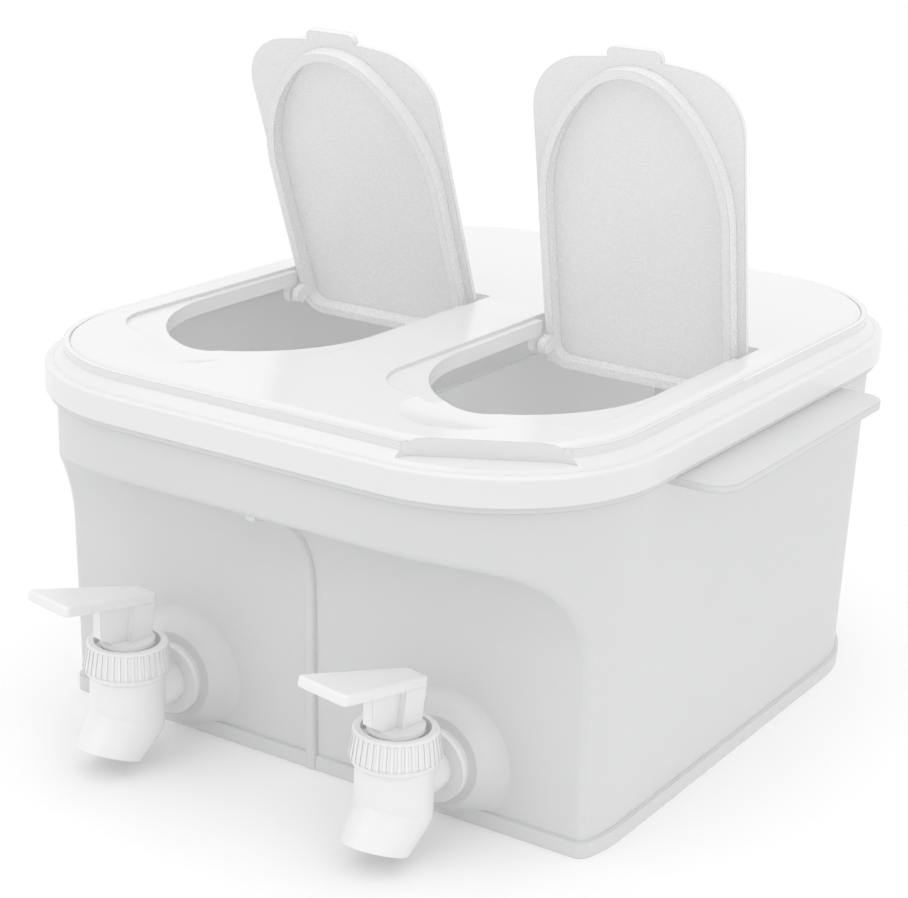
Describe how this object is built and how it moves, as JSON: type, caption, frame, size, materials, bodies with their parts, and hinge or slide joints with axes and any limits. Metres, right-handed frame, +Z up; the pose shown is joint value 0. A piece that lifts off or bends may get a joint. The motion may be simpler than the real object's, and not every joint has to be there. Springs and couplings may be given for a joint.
{
  "type": "fridge drink dispenser",
  "caption": "Low rounded tank for cold drinks with a lift-off lid, hinged flip lids over its fill openings, and press-lever taps under a brow at the front.",
  "frame": {"origin": "on the surface the tank stands on, below the middle of the lid", "axes": "+Z up, -Y towards the taps, +X to the right seen from the taps"},
  "size_m": [0.258, 0.3033, 0.2375],
  "materials": {
    "tank": "frosted translucent",
    "lid": "glossy white",
    "tap": "satin white",
    "seal": "soft",
    "spring": "drawn wire"
  },
  "bodies": {
    "tank": {"tank": "tank", "main_lid": "lid", "tap_body_left": "tap", "tap_collar_left": "tap", "tap_washer_outer_left": "seal", "tap_washer_inner_left": "seal", "tap_nut_left": "tap", "tap_body_right": "tap", "tap_collar_right": "tap", "tap_washer_outer_right": "seal", "tap_washer_inner_right": "seal", "tap_nut_right": "tap"},
    "flip_lid_left": {"flip_lid_left": "lid"},
    "flip_lid_right": {"flip_lid_right": "lid"},
    "lever_left": {"tap_lever_left": "tap"},
    "stem_left": {"tap_stem_left": "tap", "tap_seal_left": "seal", "tap_spring_left": "spring"},
    "lever_right": {"tap_lever_right": "tap"},
    "stem_right": {"tap_stem_right": "tap", "tap_seal_right": "seal", "tap_spring_right": "spring"}
  },
  "joints": [
    {"name": "flip_left", "type": "hinge", "parent": "tank", "child": "flip_lid_left", "pos_m": [-0.054, 0.01, 0.128], "axis": [-1, 0, 0], "range_deg": [-68, 37]},
    {"name": "flip_right", "type": "hinge", "parent": "tank", "child": "flip_lid_right", "pos_m": [0.054, 0.01, 0.128], "axis": [-1, 0, 0], "range_deg": [-78.6, 26.4]},
    {"name": "lever_left", "type": "hinge", "parent": "tank", "child": "lever_left", "pos_m": [-0.05491, -0.13395, 0.0388], "axis": [0.9833, -0.1822, 0], "range_deg": [0, 15], "stiffness_Nm_per_rad": 0.03, "springref_deg": -8.59},
    {"name": "stem_left", "type": "slide", "parent": "tank", "child": "stem_left", "axis": [0, 0, 1], "range_m": [0, 0.00135], "deforming": ["tap_spring_left"]},
    {"name": "lever_right", "type": "hinge", "parent": "tank", "child": "lever_right", "pos_m": [0.05309, -0.13395, 0.0388], "axis": [0.9833, -0.1822, 0], "range_deg": [0, 15], "stiffness_Nm_per_rad": 0.03, "springref_deg": -8.59},
    {"name": "stem_right", "type": "slide", "parent": "tank", "child": "stem_right", "axis": [0, 0, 1], "range_m": [0, 0.00135], "deforming": ["tap_spring_right"]}
  ],
  "couplings": [
    {"joint": "stem_left", "follows": "lever_left", "m_per_rad": 0.005},
    {"joint": "stem_right", "follows": "lever_right", "m_per_rad": 0.005}
  ]
}
